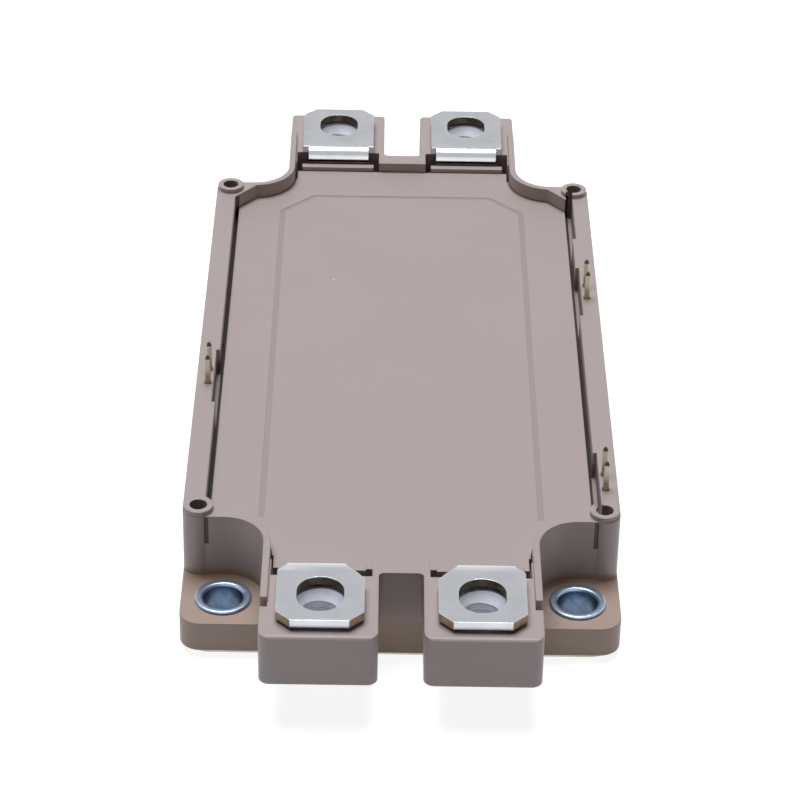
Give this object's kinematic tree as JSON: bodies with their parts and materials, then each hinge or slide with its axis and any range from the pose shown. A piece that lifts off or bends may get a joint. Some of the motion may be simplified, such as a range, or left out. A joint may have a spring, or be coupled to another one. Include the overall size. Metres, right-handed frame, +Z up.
{
  "type": "transistor power module",
  "caption": "flat dual power-transistor module: moulded frame with recessed lid, overhanging screw terminals over captive nuts, control pins in the side rails and steel-lined mounting ears",
  "frame": {"origin": "the middle of the base plate's underside, the face that is screwed to the heat sink", "axes": "+X across the module toward the rail with two pairs of pins, +Y along the module toward the rear terminals, +Z up from the heat sink"},
  "size_m": [0.062, 0.152, 0.0205],
  "materials": {
    "base": "satin nickel plating on copper",
    "housing": "fine-textured moulded plastic, warm grey",
    "bushing": "bluish zinc plating",
    "terminal": "satin tin plating",
    "nut": "bright zinc plating",
    "pin": "tinned brass, warm where worn",
    "copper": "bare copper",
    "ceramic": "matte white",
    "chip": "polished silicon",
    "wire": "satin aluminium",
    "sensor": "dark glaze",
    "filling": "soft translucent gel"
  },
  "bodies": {
    "root": {"base_plate": "base", "case_frame": "housing", "lid": "housing", "bushings": "bushing", "terminal_front_left": "terminal", "terminal_front_right": "terminal", "terminal_rear_left": "terminal", "terminal_rear_right": "terminal", "nut_front_left": "nut", "nut_front_right": "nut", "nut_rear_left": "nut", "nut_rear_right": "nut", "pin_left_rear": "pin", "pin_left_front": "pin", "pin_mid_rear": "pin", "pin_mid_front": "pin", "pin_front_rear": "pin", "pin_front_front": "pin", "copper_under_front": "copper", "copper_under_middle": "copper", "copper_under_rear": "copper", "tracks_front": "copper", "tracks_middle": "copper", "tracks_rear": "copper", "ceramic_front": "ceramic", "ceramic_middle": "ceramic", "ceramic_rear": "ceramic", "transistors_front": "chip", "transistors_middle": "chip", "transistors_rear": "chip", "diodes_front": "chip", "diodes_middle": "chip", "diodes_rear": "chip", "wires_front": "wire", "wires_middle": "wire", "wires_rear": "wire", "thermistor": "sensor", "filling": "filling"}
  },
  "joints": []
}
